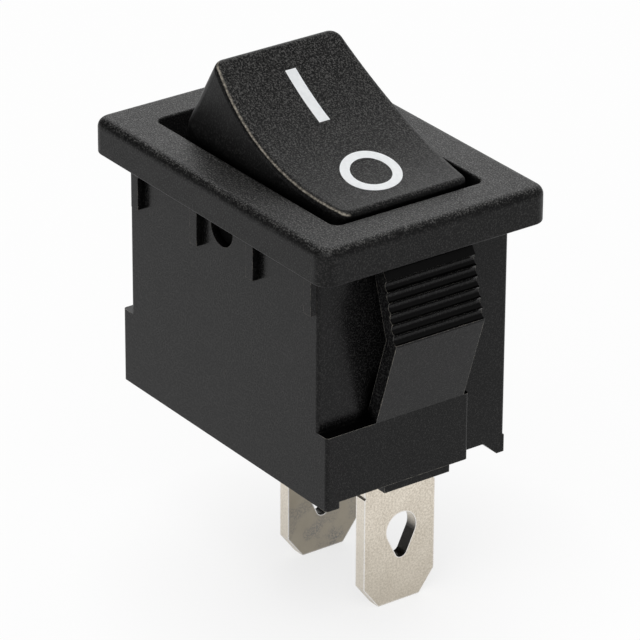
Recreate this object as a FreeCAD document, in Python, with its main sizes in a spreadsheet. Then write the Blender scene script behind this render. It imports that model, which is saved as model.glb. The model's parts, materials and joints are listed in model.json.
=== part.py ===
"""A snap-in panel rocker switch, single pole, with two push-on blades.

Millimetres. +Z is up, X runs along the bezel's long side and Y across it. The origin is at the middle
of the bezel's underside, which is the face that sits on the panel. The rocker is at rest with its O end
(+X) pressed and its I end (-X) raised, so the contacts are open.
"""
import FreeCAD, Part
import math
import os
import Sketcher
from types import SimpleNamespace

Vector = FreeCAD.Vector
Y_AXIS = Vector(0, 1, 0)
X_TURN = FreeCAD.Rotation(Vector(1, 0, 0), -90)
RIDGES = 6
TOLERANCE = 1e-4
DOC = FreeCAD.newDocument("rocker_switch")
SHEET = DOC.addObject("Spreadsheet::Sheet", "sizes")

# Driving sizes, in millimetres and degrees
SIZES = {
    # Bezel and its window
    "bezel_length": 22.0,
    "bezel_width": 15.0,
    "bezel_thickness": 2.1,
    "bezel_corner": 0.9,
    "bezel_edge": 0.55,
    "bezel_lower_edge": 0.1,
    "window_length": 16.9,
    "window_width": 9.86,
    "window_corner": 0.5,
    "window_depth": 1.7,
    "window_edge": 0.15,
    # Body under the panel
    "body_length": 17.9,
    "body_width": 12.7,
    "body_depth": 13.65,
    "body_corner": 0.2,
    "cavity_length": 16.3,
    "cavity_corner": 0.4,
    "floor_thickness": 1.45,
    "block_length": 19.6,
    "block_top": 9.6,
    "block_far_side": 3.2,
    "near_skirt_drop": 0.4,
    "near_skirt_wall": 0.97,
    "far_skirt_drop": 0.85,
    "far_skirt_wall": 0.5,
    "far_skirt_slope": 0.93,
    "foot_width": 4.4,
    "foot_drop": 0.65,
    "foot_setback": 0.35,
    "foot_wall": 1.0,
    # Crush ribs on the near side, placed by their +X faces
    "rib_1_face": -7.58,
    "rib_2_face": -1.85,
    "rib_3_face": 3.47,
    "rib_4_face": 8.8,
    "rib_width": 0.65,
    "rib_height": 0.4,
    "rib_depth": 2.6,
    # Snap latches on the short ends
    "latch_width": 5.9,
    "latch_middle": -0.13,
    "latch_crest": 2.55,
    "latch_crest_depth": 4.3,
    "latch_land": 0.12,
    "latch_wall": 0.9,
    "latch_neck": 1.63,
    "latch_neck_depth": 0.85,
    "latch_tip": 1.35,
    "latch_tip_depth": 0.4,
    "ridge_radius": 0.32,
    # Rocker
    "rocker_tilt": 20.8,
    "pivot_depth": 0.95,
    "pivot_radius": 0.97,
    "pivot_clearance": 0.06,
    "pivot_recess": 0.45,
    "cheek_radius": 2.2,
    "cheek_gap": 0.3,
    "rocker_dish_radius": 17.9,
    "rocker_dish_height": 4.9,
    "rocker_top_length": 13.1,
    "rocker_top_width": 9.3,
    "rocker_skirt_length": 15.1,
    "rocker_skirt_width": 9.56,
    "rocker_flare_level": 1.0,
    "rocker_skirt_drop": 0.7,
    "rocker_belly_radius": 42.0,
    "rocker_corner": 0.75,
    "rocker_edge": 0.35,
    "rocker_wall": 1.1,
    "rocker_roof": 1.3,
    "stem_radius": 2.0,
    "stem_length": 5.2,
    "web_thickness": 1.0,
    "bore_clearance": 0.05,
    "bore_top": 2.6,
    # Marks on the rocker
    "mark_depth": 0.15,
    "mark_rise": 0.012,
    "bar_length": 3.7,
    "bar_width": 0.7,
    "bar_middle": -3.0,
    "ring_middle": 3.31,
    "ring_half_length": 1.53,
    "ring_half_width": 1.92,
    "ring_stroke": 0.57,
    # Plunger and its spring
    "plunger_tip_radius": 0.8,
    "plunger_tip_gap": 0.05,
    "plunger_radius": 1.2,
    "plunger_shoulder": 5.0,
    "plunger_top": 3.4,
    "spigot_radius": 0.55,
    "spigot_length": 0.7,
    "wire_thickness": 0.28,
    "spring_radius": 0.93,
    "spring_turns": 8.0,
    # Contact lever
    "lever_tilt": 10.0,
    "lever_pivot_depth": 8.9,
    "lever_thickness": 0.4,
    "lever_width": 4.4,
    "lever_half_length": 6.2,
    "trough_radius": 3.85,
    "trough_half_length": 3.0,
    "waist_width": 2.7,
    "waist_left": 0.6,
    "waist_right": 1.3,
    "edge_gap": 0.03,
    # Contacts
    "contact_reach": 5.3,
    "contact_radius": 0.9,
    "contact_head": 0.4,
    "contact_dome": 0.12,
    "contact_shank": 0.45,
    "contact_upset_radius": 0.65,
    "contact_upset": 0.2,
    "contact_gap": 0.04,
    # Terminals
    "blade_width": 4.8,
    "blade_thickness": 0.8,
    "blade_tip_depth": 22.35,
    "blade_chamfer": 1.0,
    "blade_chamfer_height": 1.32,
    "blade_fit": 0.03,
    "common_middle": 0.33,
    "line_middle": 7.52,
    "shoulder_width": 5.5,
    "shoulder_height": 1.0,
    "ear_height": 1.1,
    "ear_gap": 0.1,
    "edge_slope_drop": 0.55,
    "arm_reach": 3.5,
    "arm_width": 3.6,
    "bend_radius": 0.4,
    "hole_radius": 1.0,
    "hole_rise": 4.5,
    "hole_small_radius": 0.4,
    "hole_small_rise": 3.1,
    "hole_side": 0.12,
    "common_hole_drop": 0.5,
    "common_hole_side": -0.04,
    "notch_depth": 15.3,
    "notch_size": 0.1,
    # Ribs inside the housing that the moving pieces land on
    "stop_width": 1.2,
    "stop_reach": 1.9,
    "stop_gap": 0.06,
    "post_width": 1.0,
    "post_length": 4.0,
}


class Size:
    """A length or angle together with the sheet formula that gives it."""

    def __init__(self, value, formula):
        self.value = value
        self.formula = formula

    def combine(self, other, sign, value, swap=False):
        texts = [self.formula, str(other.formula if isinstance(other, Size) else other)]
        if swap:
            texts.reverse()
        return Size(value, f"({texts[0]} {sign} {texts[1]})")

    def __add__(self, other):
        return self.combine(other, "+", self.value + number(other))

    def __radd__(self, other):
        return self.combine(other, "+", number(other) + self.value, swap=True)

    def __sub__(self, other):
        return self.combine(other, "-", self.value - number(other))

    def __rsub__(self, other):
        return self.combine(other, "-", number(other) - self.value, swap=True)

    def __mul__(self, other):
        return self.combine(other, "*", self.value * number(other))

    def __rmul__(self, other):
        return self.combine(other, "*", number(other) * self.value, swap=True)

    def __truediv__(self, other):
        return self.combine(other, "/", self.value / number(other))

    def __neg__(self):
        return self * -1

    def root(self):
        return Size(math.sqrt(self.value), f"sqrt({self.formula})")

    def sine(self):
        return Size(math.sin(math.radians(self.value)), f"sin({self.formula})")

    def cosine(self):
        return Size(math.cos(math.radians(self.value)), f"cos({self.formula})")


def number(size):
    return size.value if isinstance(size, Size) else size


def formula(size):
    return size.formula if isinstance(size, Size) else repr(size)


def fill_sheet():
    for row, (alias, value) in enumerate(SIZES.items(), 1):
        SHEET.set(f"A{row}", alias)
        SHEET.set(f"B{row}", str(value))
        SHEET.setAlias(f"B{row}", alias)
    DOC.recompute()
    sizes = {alias: Size(value, f"sizes.{alias}") for alias, value in SIZES.items()}
    return SimpleNamespace(**sizes)


S = fill_sheet()


def bind(thing, path, size):
    """Sets a property to a size and ties it to the sheet."""
    if isinstance(size, Size):
        thing.setExpression(path, size.formula)
    else:
        thing.setExpression(path, repr(float(size)))


# Sketches and solid features

def new_body(name):
    return DOC.addObject("PartDesign::Body", name)


def arc(radius, x, y, ccw):
    """An outline's corner reached by an arc from the corner before."""
    return {"x": x, "y": y, "radius": radius, "ccw": ccw}


def arc_geometry(start, end, radius, ccw):
    a = Vector(*start, 0)
    b = Vector(*end, 0)
    chord = b - a
    half = chord.Length / 2
    height = math.sqrt(max(radius * radius - half * half, 0))
    side = Vector(-chord.y, chord.x, 0).normalize() * (height if ccw else -height)
    centre = (a + b) / 2 + side
    first, last = (a, b) if ccw else (b, a)
    turn = [math.atan2(p.y - centre.y, p.x - centre.x) for p in (first, last)]
    if turn[1] <= turn[0]:
        turn[1] += 2 * math.pi
    return Part.ArcOfCircle(Part.Circle(centre, Vector(0, 0, 1), radius), *turn)


def draw_outline(sketch, corners):
    """Draws a closed outline whose corners and arc radii are tied to the sheet."""
    points = [(c["x"], c["y"]) if isinstance(c, dict) else c for c in corners]
    first = len(sketch.Geometry)
    ends = []
    for i, corner in enumerate(corners):
        start = [number(v) for v in points[i - 1]]
        end = [number(v) for v in points[i]]
        curved = isinstance(corner, dict)
        if curved:
            sketch.addGeometry(arc_geometry(start, end, number(corner["radius"]), corner["ccw"]))
            ends.append((1, 2) if corner["ccw"] else (2, 1))
        else:
            sketch.addGeometry(Part.LineSegment(Vector(*start, 0), Vector(*end, 0)))
            ends.append((1, 2))
    count = len(corners)
    for i, corner in enumerate(corners):
        here = first + i
        after = (i + 1) % count
        sketch.addConstraint(Sketcher.Constraint(
            "Coincident", here, ends[i][1], first + after, ends[after][0]))
        for kind, size in zip(("DistanceX", "DistanceY"), points[i]):
            index = sketch.addConstraint(Sketcher.Constraint(
                kind, -1, 1, here, ends[i][1], float(number(size))))
            sketch.setExpression(f"Constraints[{index}]", formula(size))
        if isinstance(corner, dict):
            radius = corner["radius"]
            index = sketch.addConstraint(Sketcher.Constraint("Radius", here, float(number(radius))))
            sketch.setExpression(f"Constraints[{index}]", formula(radius))


def draw_circle(sketch, x, y, radius):
    centre = Vector(number(x), number(y), 0)
    here = sketch.addGeometry(Part.Circle(centre, Vector(0, 0, 1), number(radius)))
    for kind, size in (("DistanceX", x), ("DistanceY", y)):
        index = sketch.addConstraint(Sketcher.Constraint(kind, -1, 1, here, 3, float(number(size))))
        sketch.setExpression(f"Constraints[{index}]", formula(size))
    index = sketch.addConstraint(Sketcher.Constraint("Radius", here, float(number(radius))))
    sketch.setExpression(f"Constraints[{index}]", formula(radius))


def new_sketch(body, name, plane, height):
    """A sketch on one of the body's own planes, lifted along that plane's normal."""
    sketch = body.newObject("Sketcher::SketchObject", name + "_outline")
    support = [f for f in body.Origin.OriginFeatures if f.Role == plane + "_Plane"][0]
    sketch.AttachmentSupport = [(support, "")]
    sketch.MapMode = "FlatFace"
    bind(sketch, "AttachmentOffset.Base.z", height)
    return sketch


def volume(body):
    DOC.recompute()
    return body.Tip.Shape.Volume if body.Tip else 0


def prism(body, name, plane, low, high, draw, cut=False):
    """Adds or cuts a straight prism between two levels along the plane's axis.

    The XZ plane's normal is -Y, so its levels are counted from the far side.
    """
    before = volume(body)
    sketch = new_sketch(body, name, plane, -high if plane == "XZ" else low)
    draw(sketch)
    feature = body.newObject("PartDesign::Pocket" if cut else "PartDesign::Pad", name)
    feature.Profile = sketch
    feature.Type = "Length"
    feature.Reversed = cut
    bind(feature, "Length", high - low)
    after = volume(body)
    if (after >= before) if cut else (after <= before):
        raise RuntimeError(f"{name} changed nothing: {before} to {after}")
    return feature


def box_outline(x0, x1, y0, y1, corner=None):
    """A rectangle, with rounded corners where a radius is given."""
    if corner is None:
        return [(x0, y0), (x1, y0), (x1, y1), (x0, y1)]
    return [
        (x1 - corner, y0), arc(corner, x1, y0 + corner, True),
        (x1, y1 - corner), arc(corner, x1 - corner, y1, True),
        (x0 + corner, y1), arc(corner, x0, y1 - corner, True),
        (x0, y0 + corner), arc(corner, x0 + corner, y0, True),
    ]


def add_box(body, name, xs, ys, zs, corner=None, cut=False):
    outline = box_outline(*xs, *ys, corner)
    return prism(body, name, "XY", *zs, lambda sketch: draw_outline(sketch, outline), cut)


def cut_box(body, name, xs, ys, zs, corner=None):
    return add_box(body, name, xs, ys, zs, corner, cut=True)


def profile(body, name, plane, low, high, corners, cut=False):
    return prism(body, name, plane, low, high, lambda sketch: draw_outline(sketch, corners), cut)


def round_edges(body, name, radius, wanted):
    """Rounds the edges of the body's last feature that the test picks."""
    DOC.recompute()
    base = body.Tip
    names = [f"Edge{i}" for i, edge in enumerate(base.Shape.Edges, 1) if wanted(edge)]
    if not names:
        raise RuntimeError(f"{name} found no edge")
    feature = body.newObject("PartDesign::Fillet", name)
    feature.Base = (base, names)
    bind(feature, "Radius", radius)
    DOC.recompute()


def lies_at(edge, **levels):
    """Whether the whole edge lies at the given x, y or z level."""
    box = edge.BoundBox
    for axis, level in levels.items():
        low = getattr(box, axis.upper() + "Min")
        high = getattr(box, axis.upper() + "Max")
        if abs(low - number(level)) > TOLERANCE or abs(high - number(level)) > TOLERANCE:
            return False
    return True


# Sizes worked out from the driving ones

HALF_BODY = S.body_length / 2
HALF_BODY_WIDTH = S.body_width / 2
HALF_BLOCK = S.block_length / 2
HALF_CAVITY_WIDTH = S.window_width / 2
LEDGE = S.bezel_thickness - S.window_depth
FLOOR_TOP = S.floor_thickness - S.body_depth
# The lever's own frame has its origin on the knife edge that it rocks on.
TROUGH_CENTRE = S.edge_gap + S.lever_thickness + S.trough_radius
WING_TOP = TROUGH_CENTRE - (S.trough_radius * S.trough_radius
                            - S.trough_half_length * S.trough_half_length).root()
WING_UNDER = WING_TOP - S.lever_thickness
# The rocker's own frame has its origin on the pivot.
PLUNGER_REACH = (S.lever_pivot_depth - S.pivot_depth - S.edge_gap - S.lever_thickness
                 - S.plunger_tip_gap - S.plunger_tip_radius)
ROOF_UNDER = S.rocker_dish_height - S.rocker_roof
CHEEK_FACE = HALF_CAVITY_WIDTH - S.cheek_gap
# Where the lever's contact comes down on the other one, as seen when the switch is on
DOME = (S.contact_radius * S.contact_radius + S.contact_dome * S.contact_dome) / S.contact_dome / 2
DOME_CENTRE = WING_UNDER - S.contact_head - S.contact_dome + DOME
FIXED_X = S.contact_reach * S.lever_tilt.cosine() + DOME_CENTRE * S.lever_tilt.sine()
MEETING = (DOME_CENTRE * S.lever_tilt.cosine() - S.contact_reach * S.lever_tilt.sine()
           - S.lever_pivot_depth - DOME)
ARM_TOP = MEETING - S.contact_gap - S.contact_head - S.contact_dome


# Housing

def latch_outline(side):
    """The snap finger in X and Z: rooted on the block, widest at its crest, scalloped above it."""
    crest_x = HALF_BODY + S.latch_crest
    neck_x = HALF_BODY + S.latch_neck
    tip_x = HALF_BODY + S.latch_tip
    step_x = (crest_x - neck_x) / RIDGES
    step_z = (S.latch_crest_depth - S.latch_neck_depth) / RIDGES
    root = -S.block_top
    corners = [(HALF_BLOCK, root), (crest_x, -S.latch_crest_depth - S.latch_land),
               (crest_x, -S.latch_crest_depth)]
    corners += [arc(S.ridge_radius, crest_x - step_x * i, step_z * i - S.latch_crest_depth, False)
                for i in range(1, RIDGES + 1)]
    corners += [
        (tip_x, -S.latch_tip_depth),
        (tip_x - S.latch_wall, -S.latch_tip_depth),
        (crest_x - S.latch_wall, -S.latch_crest_depth),
        (HALF_BLOCK - S.latch_wall, root),
        (HALF_BLOCK - S.latch_wall, root - S.latch_wall),
        (HALF_BLOCK, root - S.latch_wall),
    ]
    return corners if side > 0 else [mirrored(corner) for corner in corners]


def mirrored(corner):
    """An outline's corner on the other side of the middle, with its arc turned the other way."""
    if isinstance(corner, dict):
        return arc(corner["radius"], -corner["x"], corner["y"], not corner["ccw"])
    return (-corner[0], corner[1])


def add_shell(body):
    half_length = S.bezel_length / 2
    half_width = S.bezel_width / 2
    add_box(body, "bezel", (-half_length, half_length), (-half_width, half_width),
            (0, S.bezel_thickness), S.bezel_corner)
    round_edges(body, "bezel_top_edge", S.bezel_edge, lambda e: lies_at(e, z=S.bezel_thickness))
    round_edges(body, "bezel_under_edge", S.bezel_lower_edge, lambda e: lies_at(e, z=0))
    ends = (-HALF_BODY, HALF_BODY)
    sides = (-HALF_BODY_WIDTH, HALF_BODY_WIDTH)
    add_box(body, "body_box", ends, sides, (-S.body_depth, LEDGE), S.body_corner)
    block = (-HALF_BLOCK, HALF_BLOCK)
    add_box(body, "end_blocks", block, (-HALF_BODY_WIDTH, S.block_far_side),
            (-S.body_depth, -S.block_top), S.body_corner)
    inside = S.body_corner - S.body_depth
    add_box(body, "near_skirt", block, (-HALF_BODY_WIDTH, S.near_skirt_wall - HALF_BODY_WIDTH),
            (-S.body_depth - S.near_skirt_drop, inside), S.body_corner)
    skirt_foot = -S.body_depth - S.far_skirt_drop
    profile(body, "far_skirt", "YZ", -HALF_BODY, HALF_BODY, [
        (HALF_BODY_WIDTH - S.far_skirt_wall - S.far_skirt_slope, inside), (HALF_BODY_WIDTH, inside),
        (HALF_BODY_WIDTH, skirt_foot), (HALF_BODY_WIDTH - S.far_skirt_wall, skirt_foot),
        (HALF_BODY_WIDTH - S.far_skirt_wall - S.far_skirt_slope, -S.body_depth)])


def add_end_details(body):
    half_latch = S.latch_width / 2
    for side, tag in ((-1, "left"), (1, "right")):
        profile(body, "latch_" + tag, "XZ", S.latch_middle - half_latch, S.latch_middle + half_latch,
                latch_outline(side))
        outer = (HALF_BLOCK - S.foot_setback) * side
        inner = (HALF_BLOCK - S.foot_setback - S.foot_wall) * side
        add_box(body, "foot_" + tag, (outer, inner), (-S.foot_width / 2, S.foot_width / 2),
                (-S.body_depth - S.foot_drop, -S.body_depth + S.body_corner))


def add_crush_ribs(body):
    """Four ribs on the near side, and the same four turned half round on the far side."""
    root = HALF_BODY_WIDTH - S.body_corner
    crown = HALF_BODY_WIDTH + S.rib_height
    for i, face in enumerate((S.rib_1_face, S.rib_2_face, S.rib_3_face, S.rib_4_face), 1):
        for turn, tag in ((1, "near"), (-1, "far")):
            add_box(body, f"rib_{i}_{tag}", ((face - S.rib_width) * turn, face * turn),
                    (-crown * turn, -root * turn), (-S.rib_depth, LEDGE))


def cut_inside(body):
    half_cavity = S.cavity_length / 2
    half_window = S.window_length / 2
    widths = (-HALF_CAVITY_WIDTH, HALF_CAVITY_WIDTH)
    cut_box(body, "cavity", (-half_cavity, half_cavity), widths, (FLOOR_TOP, LEDGE), S.cavity_corner)
    cut_box(body, "window", (-half_window, half_window), widths, (LEDGE, S.bezel_thickness),
            S.window_corner)
    midway = (S.window_length.value + S.bezel_length.value) / 4 - S.bezel_edge.value / 2
    round_edges(body, "window_edge", S.window_edge,
                lambda e: lies_at(e, z=S.bezel_thickness)
                and -midway < e.BoundBox.XMin and e.BoundBox.XMax < midway)
    hole = S.pivot_radius + S.pivot_clearance
    prism(body, "pivot_holes", "XZ", -HALF_BODY_WIDTH, HALF_BODY_WIDTH,
          lambda sketch: draw_circle(sketch, 0, -S.pivot_depth, hole), cut=True)
    half_slot = S.blade_width / 2 + S.blade_fit
    for tag, middle in (("common", S.common_middle), ("line", S.line_middle)):
        half = S.blade_thickness / 2 + S.blade_fit
        cut_box(body, tag + "_slot", (middle - half, middle + half), (-half_slot, half_slot),
                (-S.body_depth - S.foot_drop, FLOOR_TOP))


def add_stops(body):
    """Ribs that stop the rocker at each end, and the post that the lever's idle end rests on."""
    half_skirt = S.rocker_skirt_length / 2
    landing = half_skirt * S.rocker_tilt.cosine() - S.rocker_skirt_drop * S.rocker_tilt.sine()
    top = -(S.pivot_depth + half_skirt * S.rocker_tilt.sine()
            + S.rocker_skirt_drop * S.rocker_tilt.cosine() + S.stop_gap)
    xs = (landing - S.stop_width / 2, landing + S.stop_width / 2)
    ys = (HALF_CAVITY_WIDTH - S.stop_reach, HALF_CAVITY_WIDTH + S.stop_gap)
    for x_side in (-1, 1):
        for y_side in (-1, 1):
            tag = f"stop_{'left' if x_side < 0 else 'right'}_{'near' if y_side < 0 else 'far'}"
            add_box(body, tag, [x * x_side for x in xs], [y * y_side for y in ys],
                    (FLOOR_TOP - S.stop_gap, top))
    tip_x = -(S.lever_half_length * S.lever_tilt.cosine() + WING_UNDER * S.lever_tilt.sine())
    tip_z = (WING_UNDER * S.lever_tilt.cosine() - S.lever_half_length * S.lever_tilt.sine()
             - S.lever_pivot_depth)
    add_box(body, "lever_post", (tip_x, tip_x + S.post_width), (-S.post_length / 2, S.post_length / 2),
            (FLOOR_TOP - S.stop_gap, tip_z - S.stop_gap))


def build_housing():
    body = new_body("housing")
    add_shell(body)
    add_crush_ribs(body)
    add_end_details(body)
    cut_inside(body)
    add_stops(body)
    return body


# Rocker and its marks, in the rocker's own frame

def rocker_plan(length, width, c):
    """The rocker seen from above: straight ends, and bellied sides that run smoothly into the corners."""
    x = length / 2
    belly = S.rocker_belly_radius
    centre = belly - width / 2
    reach = ((belly - c) * (belly - c) - (x - c) * (x - c)).root()
    end_y = reach - centre
    side_x = (x - c) * belly / (belly - c)
    side_y = reach * belly / (belly - c) - centre
    return [
        arc(belly, side_x, -side_y, True), arc(c, x, -end_y, True),
        (x, end_y), arc(c, side_x, side_y, True),
        arc(belly, -side_x, side_y, True), arc(c, -x, end_y, True),
        (-x, -end_y), arc(c, -side_x, -side_y, True),
    ]


def loft_plans(body, name, kind, plans):
    """Joins plans, each given as its level, length, width and corner, by straight walls."""
    sketches = []
    for level, length, width, corner in plans:
        sketch = new_sketch(body, f"{name}_{len(sketches)}", "XY", level)
        draw_outline(sketch, rocker_plan(length, width, corner))
        sketches.append(sketch)
    before = volume(body)
    loft = body.newObject("PartDesign::" + kind, name)
    loft.Profile = sketches[0]
    loft.Sections = sketches[1:]
    loft.Ruled = True
    if abs(volume(body) - before) < TOLERANCE:
        raise RuntimeError(f"{name} changed nothing")


def rocker_plans(top, inset, corner):
    """The skirt's plan at two levels and the narrower one at the top, all moved in by the inset."""
    skirt = (S.rocker_skirt_length - inset * 2, S.rocker_skirt_width - inset * 2, corner)
    narrow = (S.rocker_top_length - inset * 2, S.rocker_top_width - inset * 2, corner)
    return [(-S.rocker_skirt_drop, *skirt), (S.rocker_flare_level, *skirt), (top, *narrow)]


def add_rocker_block(body):
    top = S.rocker_dish_height + S.rocker_roof
    loft_plans(body, "rocker_block", "AdditiveLoft", rocker_plans(top, 0, S.rocker_corner))


def cut_dish(body):
    reach = S.rocker_skirt_length / 2
    radius = S.rocker_dish_radius
    edge = S.rocker_dish_height + radius - (radius * radius - reach * reach).root()
    above = S.rocker_dish_height + S.rocker_roof * 2
    half = S.bezel_width / 2
    profile(body, "dish", "XZ", -half, half,
            [(-reach, above), (-reach, edge), arc(radius, reach, edge, True), (reach, above)], cut=True)
    rounds = [f for f in body.Tip.Shape.Faces if hasattr(f.Surface, "Radius")]
    dish = [f for f in rounds if abs(f.Surface.Radius - radius.value) < TOLERANCE][0]
    rim = [e.CenterOfMass for e in dish.Edges]
    round_edges(body, "rim", S.rocker_edge,
                lambda e: any(e.CenterOfMass.distanceToPoint(p) < TOLERANCE for p in rim))


def hollow_rocker(body):
    loft_plans(body, "hollow", "SubtractiveLoft",
               rocker_plans(ROOF_UNDER, S.rocker_wall, S.cavity_corner))
    y = S.rocker_top_width / 2 - S.rocker_wall / 2
    half_web = S.web_thickness / 2
    add_box(body, "web", (-half_web, half_web), (-y, y), (-S.rocker_skirt_drop, ROOF_UNDER))
    prism(body, "stem", "XY", -S.stem_length, ROOF_UNDER,
          lambda sketch: draw_circle(sketch, 0, 0, S.stem_radius))
    for low, high, tag in ((-CHEEK_FACE, -y, "near"), (y, CHEEK_FACE, "far")):
        prism(body, "cheek_" + tag, "XZ", low, high,
              lambda sketch: draw_circle(sketch, 0, 0, S.cheek_radius))
    pin_end = HALF_BODY_WIDTH - S.pivot_recess
    for low, high, tag in ((-pin_end, -y, "near"), (y, pin_end, "far")):
        prism(body, "pin_" + tag, "XZ", low, high,
              lambda sketch: draw_circle(sketch, 0, 0, S.pivot_radius))
    bore = S.plunger_radius + S.bore_clearance
    prism(body, "bore", "XY", -S.stem_length, S.bore_top,
          lambda sketch: draw_circle(sketch, 0, 0, bore), cut=True)


def dish_roller(name, radius):
    """A roller across the dish: its lowest stretch is the dish moved by the change in radius."""
    roller = DOC.addObject("Part::Cylinder", name)
    bind(roller, "Radius", radius)
    bind(roller, "Height", S.bezel_width)
    roller.Placement = FreeCAD.Placement(Vector(), X_TURN)
    bind(roller, "Placement.Base.y", -S.bezel_width / 2)
    bind(roller, "Placement.Base.z", S.rocker_dish_height + S.rocker_dish_radius)
    return roller


def bar_prism():
    bar = DOC.addObject("Part::Box", "bar_prism")
    bind(bar, "Length", S.bar_length)
    bind(bar, "Width", S.bar_width)
    bind(bar, "Height", S.rocker_roof * 2)
    bind(bar, "Placement.Base.x", S.bar_middle - S.bar_length / 2)
    bind(bar, "Placement.Base.y", -S.bar_width / 2)
    bind(bar, "Placement.Base.z", S.rocker_dish_height - S.rocker_roof / 2)
    return bar


def oval_prism(name, inset):
    oval = DOC.addObject("Part::Ellipse", name + "_oval")
    bind(oval, "MajorRadius", S.ring_half_width - inset)
    bind(oval, "MinorRadius", S.ring_half_length - inset)
    oval.Placement = FreeCAD.Placement(Vector(), FreeCAD.Rotation(Vector(0, 0, 1), 90))
    bind(oval, "Placement.Base.x", S.ring_middle)
    bind(oval, "Placement.Base.z", S.rocker_dish_height - S.rocker_roof / 2)
    solid = DOC.addObject("Part::Extrusion", name)
    solid.Base = oval
    solid.DirMode = "Custom"
    solid.Dir = Vector(0, 0, 1)
    solid.Solid = True
    bind(solid, "LengthFwd", S.rocker_roof * 2)
    return solid


def boolean(kind, name, base, tool):
    result = DOC.addObject("Part::" + kind, name)
    result.Base = base
    result.Tool = tool
    return result


def at_rocker_rest(thing):
    """Turns a piece from the rocker's own frame to its place with the O end pressed."""
    thing.Placement = FreeCAD.Placement(Vector(), FreeCAD.Rotation(Y_AXIS, S.rocker_tilt.value))
    bind(thing, "Placement.Rotation.Angle", S.rocker_tilt)
    bind(thing, "Placement.Base.z", -S.pivot_depth)
    return thing


def build_rocker_and_marks():
    body = new_body("rocker_moulding")
    add_rocker_block(body)
    cut_dish(body)
    hollow_rocker(body)
    ring = boolean("Cut", "ring_prism", oval_prism("ring_outer", 0), oval_prism("ring_inner", S.ring_stroke))
    pieces = []
    rocker = body
    for name, shape in (("on_mark", bar_prism()), ("off_mark", ring)):
        under = dish_roller(name + "_under", S.rocker_dish_radius + S.mark_depth)
        over = dish_roller(name + "_over", S.rocker_dish_radius - S.mark_rise)
        inlay = boolean("Common", name + "_blank", shape, under)
        pieces.append(at_rocker_rest(boolean("Cut", name, inlay, over)))
        rocker = boolean("Cut", name + "_recess", rocker, inlay)
    rocker.Label = "rocker"
    pieces.append(at_rocker_rest(rocker))
    return pieces


# Turned pieces

def turned(body, name, corners):
    """A solid of revolution about the body's Z axis, from an outline in X and Z."""
    sketch = new_sketch(body, name, "XZ", 0)
    draw_outline(sketch, corners)
    feature = body.newObject("PartDesign::Revolution", name)
    feature.Profile = sketch
    feature.ReferenceAxis = (sketch, ["V_Axis"])
    feature.Angle = 360
    DOC.recompute()
    return feature


def build_plunger():
    body = new_body("plunger")
    tip = S.plunger_tip_radius
    spigot = S.spigot_length - S.plunger_top
    turned(body, "plunger_form", [
        (0, spigot), (0, -PLUNGER_REACH - tip), arc(tip, tip, -PLUNGER_REACH, True),
        (tip, tip - S.plunger_radius - S.plunger_shoulder),
        (S.plunger_radius, -S.plunger_shoulder), (S.plunger_radius, -S.plunger_top),
        (S.spigot_radius, -S.plunger_top), (S.spigot_radius, spigot),
    ])
    return at_rocker_rest(body)


def build_spring():
    body = new_body("plunger_spring")
    half_wire = S.wire_thickness / 2
    sketch = new_sketch(body, "wire", "XZ", 0)
    draw_circle(sketch, S.spring_radius, half_wire - S.plunger_top, half_wire)
    coil = body.newObject("PartDesign::AdditiveHelix", "coil")
    coil.Profile = sketch
    coil.ReferenceAxis = (sketch, ["V_Axis"])
    coil.Mode = "height-turns-angle"
    coil.Angle = 0
    bind(coil, "Height", S.bore_top + S.plunger_top - S.wire_thickness)
    bind(coil, "Turns", S.spring_turns)
    DOC.recompute()
    return at_rocker_rest(body)


def build_rivet(name, wall):
    """A contact rivet through a strip: origin on the strip's face, domed head below it."""
    body = new_body(name)
    radius = S.contact_radius
    turned(body, name + "_form", [
        (0, wall + S.contact_upset), (0, -S.contact_head - S.contact_dome),
        arc(DOME, radius, -S.contact_head, True),
        (radius, 0), (S.contact_shank, 0), (S.contact_shank, wall),
        (S.contact_upset_radius, wall), (S.contact_upset_radius, wall + S.contact_upset),
    ])
    return body


# Contact lever

def build_lever():
    """A see-saw strip: a trough that sits on the knife edge, and two flat wings."""
    body = new_body("contact_lever")
    half_width = S.lever_width / 2
    reach = S.trough_half_length
    outer = S.trough_radius + S.lever_thickness
    rise = TROUGH_CENTRE - WING_UNDER
    outer_reach = (outer * outer - rise * rise).root()
    profile(body, "trough", "XZ", -half_width, half_width, [
        (-outer_reach, WING_UNDER), arc(outer, outer_reach, WING_UNDER, True),
        (reach, WING_TOP), arc(S.trough_radius, -reach, WING_TOP, False),
    ])
    for side, tag in ((-1, "left"), (1, "right")):
        add_box(body, "wing_" + tag, (reach * side, S.lever_half_length * side),
                (-half_width, half_width), (WING_UNDER, WING_TOP))
    half_waist = S.waist_width / 2
    for low, high, tag in ((-half_width, -half_waist, "near"), (half_waist, half_width, "far")):
        cut_box(body, "waist_" + tag, (-S.waist_left, S.waist_right), (low, high), (0, WING_TOP))
    prism(body, "rivet_hole", "XY", WING_UNDER, WING_TOP,
          lambda sketch: draw_circle(sketch, S.contact_reach, 0, S.contact_shank), cut=True)
    return at_lever_rest(body, 0, 0)


def at_lever_rest(thing, x, z):
    """Puts a point of the lever's own frame in its place with the contacts open."""
    tilt = S.lever_tilt
    thing.Placement = FreeCAD.Placement(Vector(), FreeCAD.Rotation(Y_AXIS, -tilt.value))
    bind(thing, "Placement.Rotation.Angle", -tilt)
    bind(thing, "Placement.Base.x", x * tilt.cosine() - z * tilt.sine())
    bind(thing, "Placement.Base.z", x * tilt.sine() + z * tilt.cosine() - S.lever_pivot_depth)
    return thing


# Terminals

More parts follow.
